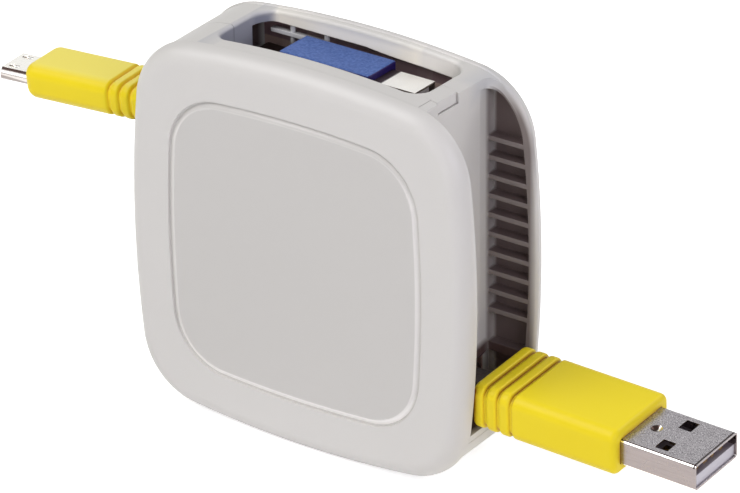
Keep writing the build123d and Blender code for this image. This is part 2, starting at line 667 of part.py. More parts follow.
def micro_pieces():
    """Small plug in its own frame: X out of the case, Z up."""
    outer = micro_bar(0, -MICRO_SHELL_SUNK, MICRO_SHELL_LENGTH)
    inner = micro_bar(MICRO_SHEET, -MICRO_SHELL_SUNK, MICRO_SHELL_LENGTH)
    shell = outer - inner
    top = MICRO_SHELL_HEIGHT / 2
    slot_x = (MICRO_SLOT_PLACE - MICRO_SLOT_LENGTH / 2, MICRO_SLOT_PLACE + MICRO_SLOT_LENGTH / 2)
    pieces = {}
    for number, side in enumerate((-MICRO_SLOT_SIDE, MICRO_SLOT_SIDE), start=1):
        slot = block(*slot_x, side - MICRO_SLOT_WIDTH / 2, side + MICRO_SLOT_WIDTH / 2, 0, 2 * top)
        shell -= slot
        spring_bar = block(
            slot_x[0], slot_x[1] - MICRO_SHEET, side - MICRO_SLOT_WIDTH / 4, side + MICRO_SLOT_WIDTH / 4,
            top - MICRO_SHEET, top,
        )
        hook = block(
            MICRO_SLOT_PLACE, MICRO_SLOT_PLACE + MICRO_SLOT_WIDTH, side - MICRO_SLOT_WIDTH / 4,
            side + MICRO_SLOT_WIDTH / 4, top, top + MICRO_LATCH_RISE,
        )
        pieces[f"micro_latch_{number}"] = spring_bar + hook
    body = overmould(
        MICRO_BODY_LENGTH, MICRO_BODY_WIDTH, MICRO_BODY_HEIGHT, MICRO_BODY_ROUND, MICRO_FRONT_ROUND,
        MICRO_BODY_RISE, MICRO_RELIEF_FIRST, MICRO_RELIEF_PITCH,
    )
    blade_end = MICRO_SHELL_LENGTH - MICRO_SHEET
    blade = bar_along(-MICRO_SHEET, blade_end, MICRO_TONGUE_WIDTH, MICRO_TONGUE_HEIGHT)
    pieces["micro_overmould"] = body - outer
    pieces["micro_shell"] = shell
    pieces["micro_tongue"] = micro_bar(MICRO_SHEET, -MICRO_SHELL_SUNK, -MICRO_SHEET) + blade
    first = -MICRO_CONTACT_PITCH * (MICRO_CONTACT_COUNT - 1) / 2
    under = -MICRO_TONGUE_HEIGHT / 2
    for number in range(MICRO_CONTACT_COUNT):
        side = first + number * MICRO_CONTACT_PITCH
        pieces[f"micro_contact_{number + 1}"] = block(
            blade_end - MICRO_SHEET - MICRO_CONTACT_LENGTH, blade_end - MICRO_SHEET,
            side - MICRO_CONTACT_WIDTH / 2, side + MICRO_CONTACT_WIDTH / 2,
            under - MICRO_CONTACT_THICKNESS, under,
        )
    return pieces


def plug_frame(place, way, droop, roll):
    """Frame of a plug: its X axis out of the case and drooping, then rolled about the case's X axis."""
    fall = math.radians(droop)
    tilt = math.radians(roll)
    out = (way * math.cos(fall), 0, -math.sin(fall))
    up = (way * math.sin(fall) * math.cos(tilt), -math.sin(tilt), math.cos(fall) * math.cos(tilt))
    return Plane(origin=place, x_dir=out, z_dir=up).location


def cable_end(plug, length, droop, way):
    """Flat cable from the coil's rim to the rear of a plug."""
    rear = (plug * Pos(-length, 0, 0)).position
    run = math.hypot(rear.X, rear.Z - AXIS_Z)
    turn = math.atan2(rear.Z - AXIS_Z, rear.X) - math.acos(CABLE_DROP / run)
    rim = (math.cos(turn), math.sin(turn))
    lean = math.tan(math.radians(droop))
    half = CABLE_THICKNESS / 2
    side = Polyline(
        ((CABLE_DROP - half) * rim[0], (CABLE_DROP - half) * rim[1]),
        ((CABLE_DROP + half) * rim[0], (CABLE_DROP + half) * rim[1]),
        (rear.X - lean * half, rear.Z - AXIS_Z - way * half),
        (rear.X + lean * half, rear.Z - AXIS_Z + way * half),
        close=True,
    )
    return deepen(upright(-CABLE_SIDE) * make_face(side), CABLE_WIDTH)


def all_pieces():
    """Every piece in the case's frame, by name."""
    shell = case_shell()
    usb_place = (CASE_HALF + USB_OUT, USB_Y, AXIS_Z - USB_FALL)
    micro_place = (-CASE_HALF - MICRO_OUT, MICRO_Y, AXIS_Z + MICRO_LIFT)
    usb = plug_frame(usb_place, 1, USB_DROOP, USB_ROLL)
    micro = plug_frame(micro_place, -1, MICRO_DROOP, MICRO_ROLL)
    pieces = {
        "front_cover": front_cover(shell),
        "rear_cover": rear_cover(shell),
        "adaptor_tray": adaptor_tray(),
        "axle": rod(AXLE_RADIUS, -PLATE, PLATE),
        "spool": spool(),
        "spool_cap": rod(DRUM_RADIUS, DRUM_END, CAP_END) - rod(CAP_BORE, DRUM_END, CAP_END),
        "spring": spring(),
        "cable_coil": rod(COIL_RADIUS, -CABLE_SIDE, CABLE_SIDE) - rod(HUB_RADIUS, -CABLE_SIDE, CABLE_SIDE),
        "lock_ball": Pos(0, BALL_Y, BALL_Z) * Sphere(BALL_RADIUS),
        "usb_cable": cable_end(usb, USB_BODY_LENGTH, USB_DROOP, 1),
        "micro_cable": cable_end(micro, MICRO_BODY_LENGTH, MICRO_DROOP, -1),
    }
    pieces.update(adaptor_pieces())
    for number, (x, z) in enumerate(screw_places(), start=1):
        pieces[f"screw_{number}"] = screw(x, z)
    for name, piece in usb_pieces().items():
        pieces[name] = usb * piece
    for name, piece in micro_pieces().items():
        pieces[name] = micro * piece
    return pieces


os.makedirs("parts", exist_ok=True)
for node, solid in all_pieces().items():
    export_step(solid, f"parts/{node}.step")
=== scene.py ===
"""Retractable charging cable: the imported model, dressed, lit and seen from the photograph's angle."""
from __future__ import annotations

import logging
import math
from collections.abc import Callable
from dataclasses import dataclass, field
from enum import Enum

import bmesh
import bpy
from mathutils import Matrix, Vector

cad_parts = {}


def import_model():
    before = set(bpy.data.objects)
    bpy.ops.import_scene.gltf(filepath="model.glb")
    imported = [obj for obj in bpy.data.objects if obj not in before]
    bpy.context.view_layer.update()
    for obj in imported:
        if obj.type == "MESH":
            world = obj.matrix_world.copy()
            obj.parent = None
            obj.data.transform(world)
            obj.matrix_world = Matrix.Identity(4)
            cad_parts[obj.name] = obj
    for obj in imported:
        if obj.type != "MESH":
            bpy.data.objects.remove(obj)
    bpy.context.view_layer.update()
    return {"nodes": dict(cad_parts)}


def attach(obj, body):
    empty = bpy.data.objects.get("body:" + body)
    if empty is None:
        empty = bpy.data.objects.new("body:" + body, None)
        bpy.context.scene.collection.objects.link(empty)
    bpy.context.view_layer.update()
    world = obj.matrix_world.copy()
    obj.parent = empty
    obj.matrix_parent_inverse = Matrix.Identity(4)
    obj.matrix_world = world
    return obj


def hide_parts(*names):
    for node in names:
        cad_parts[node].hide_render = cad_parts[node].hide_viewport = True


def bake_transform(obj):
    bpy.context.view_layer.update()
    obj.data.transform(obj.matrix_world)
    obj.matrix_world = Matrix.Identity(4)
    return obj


LOG = logging.getLogger("charging_cable")

Rgb = tuple[float, float, float]
Triple = tuple[float, float, float]
Pair = tuple[float, float]
Socket = bpy.types.NodeSocket

MM = 0.001
TOUCH = 0.01 * MM
REEL_HEIGHT = 33.14 * MM
WHITE: Rgb = (1.0, 1.0, 1.0)
OPAQUE = 1.0
RISING: Pair = (0.0, 1.0)
FALLING: Pair = (1.0, 0.0)
NOISE_RANGE: Pair = (0.3, 0.7)
NOISE_DETAIL = 2.0
EDGE_SAMPLES = 6
SKY_SAMPLES = 12
ROUND_PROFILE = 0.5

# How a screen's levels stand for light
TOP_LEVEL = 255
SRGB_TOE = 0.04045
SRGB_TOE_SLOPE = 12.92
SRGB_OFFSET = 0.055
SRGB_POWER = 2.4


def linear(red: int, green: int, blue: int) -> Rgb:
    """Turns a colour as a screen shows it into the light that it stands for.

    Args:
        red: Red level, 0 to 255.
        green: Green level, 0 to 255.
        blue: Blue level, 0 to 255.

    Returns:
        The three levels of light, 0 to 1.
    """
    levels = []
    for level in (red, green, blue):
        share = level / TOP_LEVEL
        if share <= SRGB_TOE:
            levels.append(share / SRGB_TOE_SLOPE)
        else:
            levels.append(((share + SRGB_OFFSET) / (1 + SRGB_OFFSET)) ** SRGB_POWER)
    return levels[0], levels[1], levels[2]


@dataclass(frozen=True)
class RoundSquare:
    """Square with round corners that stands across the case, seen from the front."""

    half: float
    corner: float
    across: float = 0.0
    middle: float = REEL_HEIGHT
    fade: float = 0.1 * MM


@dataclass(frozen=True)
class LightShadePatch:
    """Box in the piece's own coordinates, in millimetres, where painted light or shade is laid on the
    surface.
    """

    colour: Rgb
    low: Triple
    high: Triple
    fade: float = 0.05

    def dress(self, board: Board, tone: Socket) -> Socket:
        """Lays the box's painted light or shade over the piece's tone.

        Args:
            board: The finish's nodes.
            tone: The piece's tone.

        Returns:
            The new tone's socket.
        """
        middle = tuple((a + b) / 2 * MM for a, b in zip(self.low, self.high))
        half = tuple((b - a) / 2 * MM for a, b in zip(self.low, self.high))
        steps = (("SUBTRACT", middle), ("ABSOLUTE", None), ("SUBTRACT", half))
        parts = board.add("ShaderNodeSeparateXYZ")
        board.links.new(board.vector(board.place, steps), parts.inputs["Vector"])
        most = board.math("MAXIMUM", parts.outputs["X"], parts.outputs["Y"])
        most = board.math("MAXIMUM", most, parts.outputs["Z"])
        inside = board.span(most, (-self.fade * MM, self.fade * MM), FALLING)
        return board.mixed(inside, tone, self.colour)


@dataclass(frozen=True)
class PanelTone:
    """Panel in the middle of the front, darker than the frame, with a painted highlight along its
    groove.
    """

    colour: Rgb
    # Painted highlight on the groove's bevel, brighter where the bevel faces down
    edge: Rgb
    low_edge_highlight: Rgb
    outline: RoundSquare = RoundSquare(half=23.9 * MM, corner=9.9 * MM)
    groove: RoundSquare = RoundSquare(half=24.6 * MM, corner=10.3 * MM)
    front: Pair = (-11.4 * MM, -11.3 * MM)
    past_flat: Pair = (-0.995, -0.97)
    before_wall: Pair = (-0.8, -0.65)
    not_upward: Pair = (0.1, 0.3)
    downward: Pair = (-0.35, -0.1)

    def dress(self, board: Board, tone: Socket) -> Socket:
        """Lays the panel's tone and the painted highlight along its groove over the case's tone.

        Args:
            board: The case's nodes.
            tone: The case's tone.

        Returns:
            The new tone's socket.
        """
        ahead = board.part("Normal", "Y")
        up = board.part("Normal", "Z")
        front = board.span(board.part("Object", "Y"), self.front, FALLING)
        panel = board.product(board.inside(self.outline), front)
        edge = board.product(
            board.span(ahead, self.past_flat, RISING), board.span(ahead, self.before_wall, FALLING),
            board.span(up, self.not_upward, FALLING), board.inside(self.groove), front,
        )
        # Painted highlight: the bevel that faces down gets the brighter tone
        painted_highlight = board.mixed(board.span(up, self.downward, FALLING), self.edge, self.low_edge_highlight)
        return board.mixed(edge, board.mixed(panel, tone, self.colour), painted_highlight)


@dataclass(frozen=True)
class ChannelShade:
    """Painted shade in the two side channels: the troughs behind the rim, and the pockets by the plugs.
    """

    outline: RoundSquare = RoundSquare(half=31.2 * MM, corner=12.5 * MM, across=-0.75 * MM)
    rim: RoundSquare = RoundSquare(
        half=32.1 * MM, corner=13.4 * MM, across=-0.75 * MM, fade=0.6 * MM
    )
    rim_back: Pair = (9.3 * MM, 9.6 * MM)
    rim_side: Pair = (24.0 * MM, 29.0 * MM)
    trough: Pair = (7.7 * MM, 9.1 * MM)
    trough_back: Pair = (11.02 * MM, 11.06 * MM)
    trough_shade: float = 0.9
    pocket: Pair = (-15.6 * MM, -14.2 * MM)
    pocket_foot: Pair = (-22.7 * MM, -22.6 * MM)
    pocket_front: Pair = (-8.8 * MM, -8.7 * MM)
    pocket_shade: float = 0.97
    wall: Pair = (22.0 * MM, 23.2 * MM)

    def share(self, board: Board) -> Socket:
        """Finds how much painted shade each point gets, the same after half a turn about the reel's
        axis.

        Args:
            board: The case's nodes.

        Returns:
            The level's socket, 0 in the open.
        """
        along = board.part("Object", "Y")
        side = board.part("Object", "X")
        aside = board.math("ABSOLUTE", side)
        height = board.math("ADD", board.part("Object", "Z"), -self.outline.middle)
        turned = board.product(height, board.math("SIGN", side))
        trough = board.span(along, self.trough, (0.0, self.trough_shade))
        pocket = board.product(
            board.span(turned, self.pocket, (self.pocket_shade, 0.0)),
            board.span(turned, self.pocket_foot, RISING), board.span(along, self.pocket_front, RISING),
        )
        rim = board.product(
            board.inside(self.rim), board.span(along, self.rim_back, FALLING),
            board.span(aside, self.rim_side, RISING),
        )
        within = board.math("MAXIMUM", board.inside(self.outline), rim)
        return board.product(
            board.math("MAXIMUM", trough, pocket), board.span(along, self.trough_back, FALLING),
            board.span(aside, self.wall, RISING), within,
        )


class Board:
    """Node tree of one finish, with short calls to add its nodes and join them."""

    def __init__(self, name: str) -> None:
        """Starts a material that holds a principled shader.

        Args:
            name: Name of the material.
        """
        self.material = bpy.data.materials.new(name)
        self.material.use_nodes = True
        self.nodes = self.material.node_tree.nodes
        self.links = self.material.node_tree.links
        self.nodes.clear()
        self.shader = self.add("ShaderNodeBsdfPrincipled")
        output = self.add("ShaderNodeOutputMaterial")
        self.links.new(self.shader.outputs["BSDF"], output.inputs["Surface"])
        self.coordinates = self.add("ShaderNodeTexCoord")
        self.place = self.coordinates.outputs["Object"]

    def add(self, kind: str) -> bpy.types.Node:
        """Adds a node of a kind and returns it."""
        return self.nodes.new(kind)

    def feed(self, socket: str, source: Socket) -> None:
        """Joins a source to one of the shader's sockets."""
        self.links.new(source, self.shader.inputs[socket])

    def noise(self, size: float, detail: float = NOISE_DETAIL) -> Socket:
        """Adds a noise pattern on the piece's own coordinates.

        Args:
            size: Size of the pattern's blots in metres.
            detail: How many finer layers lie on it.

        Returns:
            The pattern's level, mostly within NOISE_RANGE.
        """
        return self.texture(self.place, 1 / size, detail)

    def stretched(self, sizes: Triple) -> Socket:
        """Adds a noise pattern whose blots have their own size along each axis, as in drawn metal.

        Args:
            sizes: Size of the blots along X, Y and Z in metres.

        Returns:
            The pattern's level, mostly within NOISE_RANGE.
        """
        mapping = self.add("ShaderNodeMapping")
        mapping.inputs["Scale"].default_value = [1 / size for size in sizes]
        self.links.new(self.place, mapping.inputs["Vector"])
        return self.texture(mapping.outputs["Vector"], 1.0, NOISE_DETAIL)

    def texture(self, place: Socket, scale: float, detail: float) -> Socket:
        """Adds a noise node.

        Args:
            place: Coordinates that the noise lies on.
            scale: Blots in each unit of them.
            detail: How many finer layers lie on it.

        Returns:
            The noise's level.
        """
        node = self.add("ShaderNodeTexNoise")
        node.inputs["Scale"].default_value = scale
        node.inputs["Detail"].default_value = detail
        self.links.new(place, node.inputs["Vector"])
        return node.outputs["Fac"]

    def span(self, source: Socket, old: Pair, new: Pair) -> Socket:
        """Stretches a level from one range to another, and holds it there.

        Args:
            source: The level.
            old: Range that it has.
            new: Range that it gets.

        Returns:
            The stretched level's socket.
        """
        node = self.add("ShaderNodeMapRange")
        self.links.new(source, node.inputs["Value"])
        for socket, value in zip(("From Min", "From Max", "To Min", "To Max"), (*old, *new)):
            node.inputs[socket].default_value = value
        return node.outputs["Result"]

    def mixed(self, share: Socket, first: Rgb | Socket, second: Rgb | Socket) -> Socket:
        """Mixes two colours by a level.

        Args:
            share: Level, 0 for the first colour and 1 for the second.
            first: First colour, or a socket that gives it.
            second: Second colour, or a socket that gives it.

        Returns:
            The mixed colour's socket.
        """
        node = self.add("ShaderNodeMix")
        node.data_type = "RGBA"
        self.links.new(share, node.inputs["Factor"])
        inputs = [socket for socket in node.inputs if socket.type == "RGBA"]
        for socket, colour in zip(inputs, (first, second)):
            if isinstance(colour, Socket):
                self.links.new(colour, socket)
            else:
                socket.default_value = (*colour, OPAQUE)
        return next(socket for socket in node.outputs if socket.type == "RGBA")

    def soft_edges(self, radius: float) -> Socket:
        """Rounds the light on sharp edges.

        Args:
            radius: Radius of the rounding in metres.

        Returns:
            The rounded normal's socket.
        """
        node = self.add("ShaderNodeBevel")
        node.samples = EDGE_SAMPLES
        node.inputs["Radius"].default_value = radius
        return node.outputs["Normal"]

    def math(self, operation: str, *values: Socket | float) -> Socket:
        """Passes levels through an operation.

        Args:
            operation: The operation, such as ABSOLUTE or MAXIMUM.
            values: The levels that it takes, as sockets or plain numbers.

        Returns:
            The result's socket.
        """
        node = self.add("ShaderNodeMath")
        node.operation = operation
        for socket, value in zip(node.inputs, values):
            if isinstance(value, Socket):
                self.links.new(value, socket)
            else:
                socket.default_value = value
        return node.outputs["Value"]

    def product(self, first: Socket, *others: Socket) -> Socket:
        """Multiplies levels with each other.

        Args:
            first: The first level.
            others: The levels that it is multiplied by.

        Returns:
            The product's socket.
        """
        for other in others:
            first = self.math("MULTIPLY", first, other)
        return first

    def part(self, output: str, axis: str) -> Socket:
        """Takes one axis of the piece's own coordinates or normal.

        Args:
            output: Object for the coordinates, or Normal.
            axis: The axis, X, Y or Z.

        Returns:
            The level's socket.
        """
        node = self.add("ShaderNodeSeparateXYZ")
        self.links.new(self.coordinates.outputs[output], node.inputs["Vector"])
        return node.outputs[axis]

    def inside(self, outline: RoundSquare) -> Socket:
        """Tells the points inside a square with round corners from those around it.

        Args:
            outline: The square's place and size.

        Returns:
            A socket, 1 inside and 0 outside.
        """
        straight = outline.half - outline.corner
        steps = (
            ("SUBTRACT", (outline.across, 0.0, outline.middle)), ("ABSOLUTE", None),
            ("SUBTRACT", (straight, 1.0, straight)), ("MAXIMUM", (0.0, 0.0, 0.0)), ("LENGTH", None),
        )
        away = self.vector(self.place, steps)
        brink = (outline.corner - outline.fade, outline.corner + outline.fade)
        return self.span(away, brink, FALLING)

    def vector(self, source: Socket, steps: tuple[tuple[str, Triple | None], ...]) -> Socket:
        """Passes a vector through operations, one after the other.

        Args:
            source: The vector.
            steps: Each operation, and the vector that it takes beside the first, if it takes one.

        Returns:
            The last operation's socket.
        """
        for operation, value in steps:
            node = self.add("ShaderNodeVectorMath")
            node.operation = operation
            self.links.new(source, node.inputs[0])
            if value is not None:
                node.inputs[1].default_value = value
            source = node.outputs["Value" if operation in ("LENGTH", "DISTANCE") else "Vector"]
        return source

    def ramp(self, source: Socket, stops: tuple[tuple[float, Rgb], ...]) -> Socket:
        """Turns a level into a colour that runs through several stops.

        Args:
            source: The level, 0 to 1.
            stops: Each stop's level and colour, from low to high.

        Returns:
            The colour's socket.
        """
        node = self.add("ShaderNodeValToRGB")
        elements = node.color_ramp.elements
        while len(elements) < len(stops):
            elements.new(0.5)
        for element, (level, colour) in zip(elements, stops):
            element.position = level
            element.color = (*colour, OPAQUE)
        self.links.new(source, node.inputs["Fac"])
        return node.outputs["Color"]

    def relief(self, height: Socket, depth: float, normal: Socket) -> Socket:
        """Raises a pattern on a surface.

        Args:
            height: The pattern's level.
            depth: Height of the relief in metres.
            normal: Normal that the relief stands on.

        Returns:
            The new normal's socket.
        """
        node = self.add("ShaderNodeBump")
        node.inputs["Distance"].default_value = depth
        self.links.new(height, node.inputs["Height"])
        self.links.new(normal, node.inputs["Normal"])
        return node.outputs["Normal"]

    def openness(self, reach: float) -> Socket:
        """Finds how open the sky is over each point.

        Args:
            reach: How far off a surface still counts, in metres.

        Returns:
            The level's socket, 1 in the open.
        """
        node = self.add("ShaderNodeAmbientOcclusion")
        node.samples = SKY_SAMPLES
        node.inputs["Distance"].default_value = reach
        return node.outputs["AO"]


@dataclass(frozen=True)
class Plastic:
    """Moulded plastic: a fine grain, a slow drift of tone, and painted shade in its recesses."""

    name: str
    colour: Rgb
    drift: Rgb
    # Painted shade: tone that recesses take, the more the sky over them is closed
    recess_shade: Rgb
    reach: float = 6 * MM
    open_range: Pair = (0.3, 0.8)
    closest: float = 1.0
    # Painted shade low down in the piece, fading in between these heights
    low_shade_heights: Pair | None = None
    grain: float = 0.25 * MM
    grain_detail: float = 1.0
    relief: float = 0.003 * MM
    drift_size: float = 16 * MM
    roughness: Pair = (0.38, 0.46)
    edge: float = 0.15 * MM
    shine: float = 0.5
    panel: PanelTone | None = None
    # Painted shade in the side channels
    channel_shade: ChannelShade | None = None
    # Painted shade on faces that stand up, in a tone of their own
    side_recess_shade: Rgb | None = None
    side_slope: Pair = (0.15, 0.42)
    # Painted light: lighter tone on faces that look up
    painted_top_light: Rgb | None = None
    painted_top_slope: Pair = (0.75, 0.97)
    light_shade_patches: tuple[LightShadePatch, ...] = ()

    def make(self) -> bpy.types.Material:
        """Builds the plastic.

        Returns:
            The finished material.
        """
        board = Board(self.name)
        drift = board.span(board.noise(self.drift_size), NOISE_RANGE, RISING)
        tone = board.mixed(drift, self.colour, self.drift)
        if self.panel is not None:
            tone = self.panel.dress(board, tone)
        # Painted light on faces that look up
        if self.painted_top_light is not None:
            top_lit_share = board.span(board.part("Normal", "Z"), self.painted_top_slope, RISING)
            tone = board.mixed(top_lit_share, tone, self.painted_top_light)
        for patch in self.light_shade_patches:
            tone = patch.dress(board, tone)
        # Painted shade in recesses, in its own tone on side faces
        recess_shade: Rgb | Socket = self.recess_shade
        if self.side_recess_shade is not None:
            flat = board.span(board.part("Normal", "Z"), self.side_slope, RISING)
            recess_shade = board.mixed(flat, self.side_recess_shade, self.recess_shade)
        board.feed("Base Color", board.mixed(self.painted_shade_level(board), tone, recess_shade))
        grain = board.noise(self.grain, self.grain_detail)
        board.feed("Roughness", board.span(grain, NOISE_RANGE, self.roughness))
        board.feed("Normal", board.relief(grain, self.relief, board.soft_edges(self.edge)))
        board.shader.inputs["Specular IOR Level"].default_value = self.shine
        return board.material

    def painted_shade_level(self, board: Board) -> Socket:
        """Finds how much painted shade each point gets: in a recess, in the side channels, or low down
        in the piece.

        Args:
            board: The plastic's nodes.

        Returns:
            The level's socket, 0 in the open and 1 in a deep recess.
        """
        closed = board.span(board.openness(self.reach), self.open_range, (self.closest, 0.0))
        # Painted shade in the side channels
        if self.channel_shade is not None:
            closed = board.math("MAXIMUM", closed, self.channel_shade.share(board))
        # Painted shade, darker towards the bottom
        if self.low_shade_heights is not None:
            sunk_shade = board.span(board.part("Object", "Z"), self.low_shade_heights, FALLING)
            closed = board.math("MAXIMUM", closed, sunk_shade)
        return closed


class Skin(Enum):
    """How a metal's broad faces were finished."""

    BLASTED = "blasted"
    DRAWN = "drawn"


@dataclass(frozen=True)
class Dent:
    """Round dent in a metal's broad face, with painted shade on one wall and a painted highlight on the
    other.
    """

    place: Triple
    radius: float
    painted_shade_tone: Rgb
    painted_highlight_tone: Rgb
    brim: float = 0.9
    lit_slope: Pair = (-0.12, 0.02)

    def dress(self, board: Board, tone: Socket) -> Socket:
        """Lays the dent's painted shade and painted highlight over the face's tone.

        Args:
            board: The metal's nodes.
            tone: The face's tone.

        Returns:
            The new tone's socket.
        """
        away = board.vector(board.place, (("DISTANCE", self.place),))
        inside = board.span(away, (self.brim * self.radius, self.radius), FALLING)
        lit = board.span(board.part("Normal", "X"), self.lit_slope, FALLING)
        return board.mixed(inside, tone, board.mixed(lit, self.painted_shade_tone, self.painted_highlight_tone))


@dataclass(frozen=True)
class Fold:
    """Painted reflections across a metal's bent edge, each tone at its slope, from the side to the
    broad face.
    """

    stops: tuple[tuple[float, Rgb], ...]


@dataclass(frozen=True)
class Metal:
    """Plated sheet metal: faces blasted with beads or left as drawn, with painted reflection and shade
    on bent shoulders and plain sides.
    """

    name: str
    face: Rgb
    speck: Rgb
    # Tones of the bent shoulders and the plain sides: painted reflection and shade
    shoulder_reflection: Rgb | Fold
    side: Rgb
    skin: Skin = Skin.DRAWN
    grain: float = 0.15 * MM
    grain_length: float = 3 * MM
    speck_range: Pair = (0.36, 0.64)
    relief: float = 0.012 * MM
    roughness: Pair = (0.2, 0.3)
    wear: float = 2 * MM
    edge: float = 0.06 * MM
    flatness: Pair = (0.94, 0.985)
    bend: Pair = (0.2, 0.4)
    streak: Triple = (4 * MM, 0.25 * MM, 0.25 * MM)
    streak_range: Pair = (0.35, 0.65)
    streak_dim: float = 0.93
    metallic: float = 1.0
    dent: Dent | None = None
    light_shade_patches: tuple[LightShadePatch, ...] = ()

    def make(self) -> bpy.types.Material:
        """Builds the metal.

        Returns:
            The finished material.
        """
        board = Board(self.name)
        board.shader.inputs["Metallic"].default_value = self.metallic
        grain = self.pattern(board)
        slope = board.math("ABSOLUTE", board.part("Normal", "Z"))
        flat = board.span(slope, self.flatness, RISING)
        bent = board.span(slope, self.bend, RISING)
        streak = board.span(board.stretched(self.streak), self.streak_range, RISING)
        side = board.mixed(streak, self.side, tuple(self.streak_dim * level for level in self.side))
        broad = board.mixed(board.span(grain, self.speck_range, RISING), self.face, self.speck)
        # Painted reflection and shade by slope, from side to shoulder to broad face
        shoulder_reflection: Rgb | Fold | Socket = self.shoulder_reflection
        if isinstance(shoulder_reflection, Fold):
            shoulder_reflection = board.ramp(slope, shoulder_reflection.stops)
        tone = board.mixed(flat, board.mixed(bent, side, shoulder_reflection), broad)
        if self.dent is not None:
            tone = self.dent.dress(board, tone)
        for patch in self.light_shade_patches:
            tone = patch.dress(board, tone)
        board.feed("Base Color", tone)
        board.feed("Roughness", board.span(board.noise(self.wear), NOISE_RANGE, self.roughness))
        normal = board.soft_edges(self.edge)
        board.feed("Normal", board.relief(board.product(grain, flat), self.relief, normal))
        return board.material

    def pattern(self, board: Board) -> Socket:
        """Adds the pattern of the broad faces: round grains or drawn streaks.

        Args:
            board: The metal's nodes.

        Returns:
            The pattern's level.
        """
        if self.skin is Skin.BLASTED:
            return board.noise(self.grain)
        return board.stretched((self.grain_length, self.grain, self.grain))


class Bench:
    """Modelling bench: one piece, shaped with edit mode operators on what is picked by place."""

    def __init__(self, name: str, low: Triple, high: Triple) -> None:
        """Starts a piece from a cube stretched between two corners.

        Args:
            name: Name of the piece.
            low: Lowest corner in metres.
            high: Highest corner in metres.
        """
        bpy.ops.object.select_all(action="DESELECT")
        middle = [(a + b) / 2 for a, b in zip(low, high)]
        bpy.ops.mesh.primitive_cube_add(size=1.0, location=middle)
        self.piece = bpy.context.active_object
        self.piece.name = name
        self.piece.data.name = name
        self.piece.scale = [b - a for a, b in zip(low, high)]
        bpy.ops.object.transform_apply(location=True, rotation=True, scale=True)

    def choose(self) -> None:
        """Selects the piece alone and makes it the active one."""
        bpy.ops.object.select_all(action="DESELECT")
        self.piece.select_set(True)
        bpy.context.view_layer.objects.active = self.piece

    def __enter__(self) -> Bench:
        """Opens edit mode on the piece alone.

        Returns:
            The bench.
        """
        self.choose()
        bpy.ops.object.mode_set(mode="EDIT")
        return self

    def __exit__(self, *problem: object) -> None:
        """Leaves edit mode."""
        bpy.ops.object.mode_set(mode="OBJECT")

    def pick_points(self, test: Callable[[Vector], bool]) -> None:
        """Picks the points that pass a test.

        Args:
            test: Takes the place of a point.
        """
        bpy.ops.mesh.select_mode(type="VERT")
        bpy.ops.mesh.select_all(action="DESELECT")
        mesh = bmesh.from_edit_mesh(self.piece.data)
        for point in mesh.verts:
            point.select = test(point.co)
        mesh.select_flush_mode()
        bmesh.update_edit_mesh(self.piece.data)

    def pick_edges(self, test: Callable[[Vector, Vector], bool]) -> None:
        """Picks the edges that pass a test.

        Args:
            test: Takes the places of an edge's two ends.
        """
        bpy.ops.mesh.select_mode(type="EDGE")
        bpy.ops.mesh.select_all(action="DESELECT")
        mesh = bmesh.from_edit_mesh(self.piece.data)
        for edge in mesh.edges:
            edge.select = test(edge.verts[0].co, edge.verts[1].co)
        mesh.select_flush_mode()
        bmesh.update_edit_mesh(self.piece.data)

    def cut(self, place: Triple, normal: Triple) -> None:
        """Cuts a ring of edges all round the piece where a plane meets it."""
        bpy.ops.mesh.select_all(action="SELECT")
        bpy.ops.mesh.bisect(plane_co=place, plane_no=normal)

    def round_picked(self, radius: float, steps: int) -> None:
        """Rounds the picked edges.

        Args:
            radius: Radius of the rounding in metres.
            steps: Faces across the rounding.
        """
        bpy.ops.mesh.bevel(
            offset=radius, offset_type="OFFSET", segments=steps, profile=ROUND_PROFILE, affect="EDGES",
            clamp_overlap=True,
        )

    def hollow(self, cutter: bpy.types.Object) -> None:
        """Takes another piece's shape out of this one, and removes that piece.

        Args:
            cutter: The other piece.
        """
        step = self.piece.modifiers.new("hollow", "BOOLEAN")
        step.operation = "DIFFERENCE"
        step.solver = "EXACT"
        step.object = cutter
        self.apply(step)
        bpy.data.objects.remove(cutter, do_unlink=True)

    def apply(self, step: bpy.types.Modifier) -> None:
        """Applies one modifier to the piece."""
        self.choose()
        bpy.ops.object.modifier_apply(modifier=step.name)

    def settle(self, place: Matrix, sharp: float = 40.0) -> bpy.types.Object:
        """Moves the piece to its place, keeps that in its mesh and smooths its shading.

        Args:
            place: Where the piece goes.
            sharp: Angle in degrees past which an edge stays sharp.

        Returns:
            The finished piece.
        """
        self.choose()
        self.piece.matrix_world = place
        bpy.ops.object.transform_apply(location=True, rotation=True, scale=True)
        bpy.ops.object.shade_smooth_by_angle(angle=math.radians(sharp))
        step = self.piece.modifiers.new("flat_faces", "WEIGHTED_NORMAL")
        step.keep_sharp = True
        self.apply(step)
        return self.piece


def near(value: float, target: float) -> bool:
    """Tells whether a length is at a target, within a hundredth of a millimetre."""
    return abs(value - target) < TOUCH


@dataclass(frozen=True)
class PlugFrame:
    """Where a plug is: its origin on the grip's front face, and how it droops and rolls."""

    origin: Triple
    way: int
    droop: float
    roll: float

    def matrix(self) -> Matrix:
        """Finds the plug's frame.

        Returns:
            The frame, with X out of the case and Z up.
        """
        fall = math.radians(self.droop)
        tilt = math.radians(self.roll)
        out = Vector((self.way * math.cos(fall), 0.0, -math.sin(fall)))
        level = math.cos(tilt)
        up = Vector((self.way * math.sin(fall) * level, -math.sin(tilt), math.cos(fall) * level))
        across = up.cross(out)
        turn = Matrix((out, across, up)).transposed().to_4x4()
        return Matrix.Translation(Vector(self.origin)) @ turn


